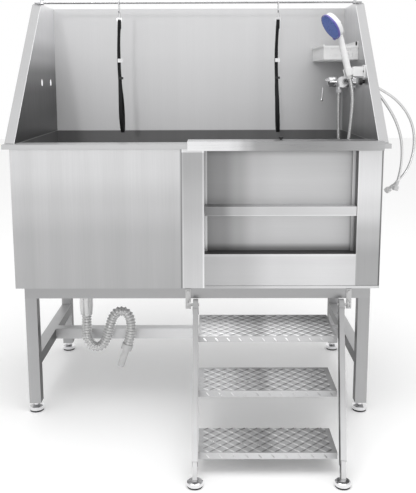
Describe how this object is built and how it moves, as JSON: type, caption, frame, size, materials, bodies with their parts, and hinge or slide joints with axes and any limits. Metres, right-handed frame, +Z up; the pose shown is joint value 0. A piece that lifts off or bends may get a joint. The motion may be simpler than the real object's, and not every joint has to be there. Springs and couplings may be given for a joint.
{
  "type": "pet bathtub",
  "caption": "Stainless steel pet bathtub on a leg frame, with splash walls, a lift-out door, fold-up steps, a wall mixer, a hand shower, a drain hose and grooming loops.",
  "frame": {"origin": "on the floor, at the middle of the tub and steps seen from above", "axes": "+Z up, +X to the right of a person facing the tub's front, +Y from the steps towards the back wall"},
  "size_m": [1.5138, 1.198, 1.456],
  "materials": {
    "steel": "fine brushed grain",
    "rail_steel": "brushed square tube",
    "plate_steel": "raised-bar tread plate",
    "chrome": "polished",
    "white_plastic": "glossy white",
    "black_plastic": "matt black",
    "blue_plastic": "blue rubber nozzles in a glossy plate",
    "rubber": "matt black",
    "webbing": "woven nylon webbing",
    "hose_grey": "corrugated, pale grey",
    "hose_steel": "interlocked metal spiral hose",
    "hose_white": "braided, pale",
    "foot_mix": "chromed disc on a black rubber pad"
  },
  "bodies": {
    "tub": {"basin": "steel", "front_panel": "steel", "outer_panels": "steel", "door_posts": "steel", "door_sill": "steel", "rim": "steel", "back_splash": "steel", "side_splash_left": "steel", "side_splash_right": "steel", "hanging_bar": "steel", "wall_fasteners": "black_plastic", "legs": "rail_steel", "top_rails": "rail_steel", "lower_rails": "rail_steel", "step_brackets": "rail_steel", "drain_flange": "chrome", "drain_gasket": "rubber", "drain_tailpiece": "hose_grey", "drain_hose": "hose_grey", "drain_spigot": "hose_grey", "mixer_body": "chrome", "mixer_fittings": "chrome", "shower_hose": "hose_steel", "shower_holder": "white_plastic", "soap_basket": "white_plastic", "supply_hose_hot": "hose_white", "supply_hose_cold": "hose_white", "supply_hose_nuts": "white_plastic"},
    "foot_front_left": {"foot_front_left": "foot_mix"},
    "foot_front_right": {"foot_front_right": "foot_mix"},
    "foot_rear_left": {"foot_rear_left": "foot_mix"},
    "foot_rear_right": {"foot_rear_right": "foot_mix"},
    "door": {"door_leaf": "steel", "door_mid_rail": "steel", "door_cap": "steel", "door_knob": "black_plastic"},
    "steps": {"step_stiles": "rail_steel", "tread_top": "plate_steel", "tread_middle": "plate_steel", "tread_bottom": "plate_steel"},
    "step_leg_left": {"step_leg_left": "rail_steel"},
    "step_leg_right": {"step_leg_right": "rail_steel"},
    "step_foot_left": {"step_foot_left": "foot_mix"},
    "step_foot_right": {"step_foot_right": "foot_mix"},
    "mixer_cap": {"mixer_cap": "chrome"},
    "mixer_lever": {"mixer_lever": "chrome"},
    "handset": {"handset": "white_plastic", "spray_face": "blue_plastic", "handset_cone_nut": "white_plastic"},
    "spray_selector": {"spray_selector": "blue_plastic"},
    "holder_knob": {"holder_knob": "black_plastic"},
    "drain_strainer": {"drain_strainer": "chrome"},
    "loop_left_hook": {"loop_left_hook": "chrome"},
    "loop_left_strap": {"loop_left_strap": "webbing", "loop_left_ring": "chrome"},
    "loop_left_slider": {"loop_left_slider": "chrome"},
    "loop_right_hook": {"loop_right_hook": "chrome"},
    "loop_right_strap": {"loop_right_strap": "webbing", "loop_right_ring": "chrome"},
    "loop_right_slider": {"loop_right_slider": "chrome"}
  },
  "joints": [
    {"name": "door_slide", "type": "slide", "parent": "tub", "child": "door", "axis": [0, 0, 1], "range_m": [0, 0.4]},
    {"name": "steps_fold", "type": "hinge", "parent": "tub", "child": "steps", "pos_m": [0.242, -0.129, 0.398], "axis": [-1, 0, 0], "range_deg": [0, 110]},
    {"name": "step_leg_left_slide", "type": "slide", "parent": "steps", "child": "step_leg_left", "axis": [0.0086, -0.7652, -0.6437], "range_m": [-0.02, 0.06]},
    {"name": "step_leg_right_slide", "type": "slide", "parent": "steps", "child": "step_leg_right", "axis": [-0.1089, -0.7607, -0.6399], "range_m": [-0.02, 0.06]},
    {"name": "step_foot_left_turn", "type": "hinge", "parent": "step_leg_left", "child": "step_foot_left", "pos_m": [0, -0.576, 0.02], "axis": [0, 0, 1], "continuous": true},
    {"name": "step_foot_right_turn", "type": "hinge", "parent": "step_leg_right", "child": "step_foot_right", "pos_m": [0.424, -0.576, 0.02], "axis": [0, 0, 1], "continuous": true},
    {"name": "foot_front_left_turn", "type": "hinge", "parent": "tub", "child": "foot_front_left", "pos_m": [-0.57, -0.087, 0.02], "axis": [0, 0, 1], "continuous": true},
    {"name": "foot_rear_left_turn", "type": "hinge", "parent": "tub", "child": "foot_rear_left", "pos_m": [-0.57, 0.498, 0.02], "axis": [0, 0, 1], "continuous": true},
    {"name": "foot_front_right_turn", "type": "hinge", "parent": "tub", "child": "foot_front_right", "pos_m": [0.57, -0.087, 0.02], "axis": [0, 0, 1], "continuous": true},
    {"name": "foot_rear_right_turn", "type": "hinge", "parent": "tub", "child": "foot_rear_right", "pos_m": [0.57, 0.498, 0.02], "axis": [0, 0, 1], "continuous": true},
    {"name": "mixer_temperature", "type": "hinge", "parent": "tub", "child": "mixer_cap", "pos_m": [0.52, 0.387, 1.142], "axis": [1, 0, 0], "range_deg": [-45, 45]},
    {"name": "mixer_flow", "type": "hinge", "parent": "mixer_cap", "child": "mixer_lever", "pos_m": [0.5011, 0.387, 1.15], "axis": [0, 1, 0], "range_deg": [0, 20]},
    {"name": "handset_lift", "type": "slide", "parent": "tub", "child": "handset", "axis": [-0.2592, -0.0194, 0.9656], "range_m": [0, 0.2]},
    {"name": "spray_select", "type": "hinge", "parent": "handset", "child": "spray_selector", "pos_m": [0.47, 0.115, 1.333], "axis": [-0.8, -0.24, -0.55], "range_deg": [-40, 0]},
    {"name": "holder_knob_turn", "type": "hinge", "parent": "tub", "child": "holder_knob", "pos_m": [0.588, 0.135, 1.143], "axis": [1, 0, 0], "continuous": true},
    {"name": "strainer_lift", "type": "slide", "parent": "tub", "child": "drain_strainer", "axis": [0, 0, 1], "range_m": [0, 0.08]},
    {"name": "loop_left_along_bar", "type": "slide", "parent": "tub", "child": "loop_left_hook", "axis": [1, 0, 0], "range_m": [-0.22, 0.25]},
    {"name": "loop_left_swing", "type": "hinge", "parent": "loop_left_hook", "child": "loop_left_strap", "pos_m": [-0.301, 0.345, 1.3735], "axis": [1, 0, 0], "range_deg": [-60, 24]},
    {"name": "loop_left_slider_move", "type": "slide", "parent": "loop_left_strap", "child": "loop_left_slider", "axis": [0, 0, 1], "range_m": [-0.02, 0.1]},
    {"name": "loop_right_along_bar", "type": "slide", "parent": "tub", "child": "loop_right_hook", "axis": [1, 0, 0], "range_m": [-0.25, 0.08]},
    {"name": "loop_right_swing", "type": "hinge", "parent": "loop_right_hook", "child": "loop_right_strap", "pos_m": [0.305, 0.345, 1.3735], "axis": [1, 0, 0], "range_deg": [-60, 24]},
    {"name": "loop_right_slider_move", "type": "slide", "parent": "loop_right_strap", "child": "loop_right_slider", "axis": [0, 0, 1], "range_m": [-0.02, 0.1]}
  ]
}
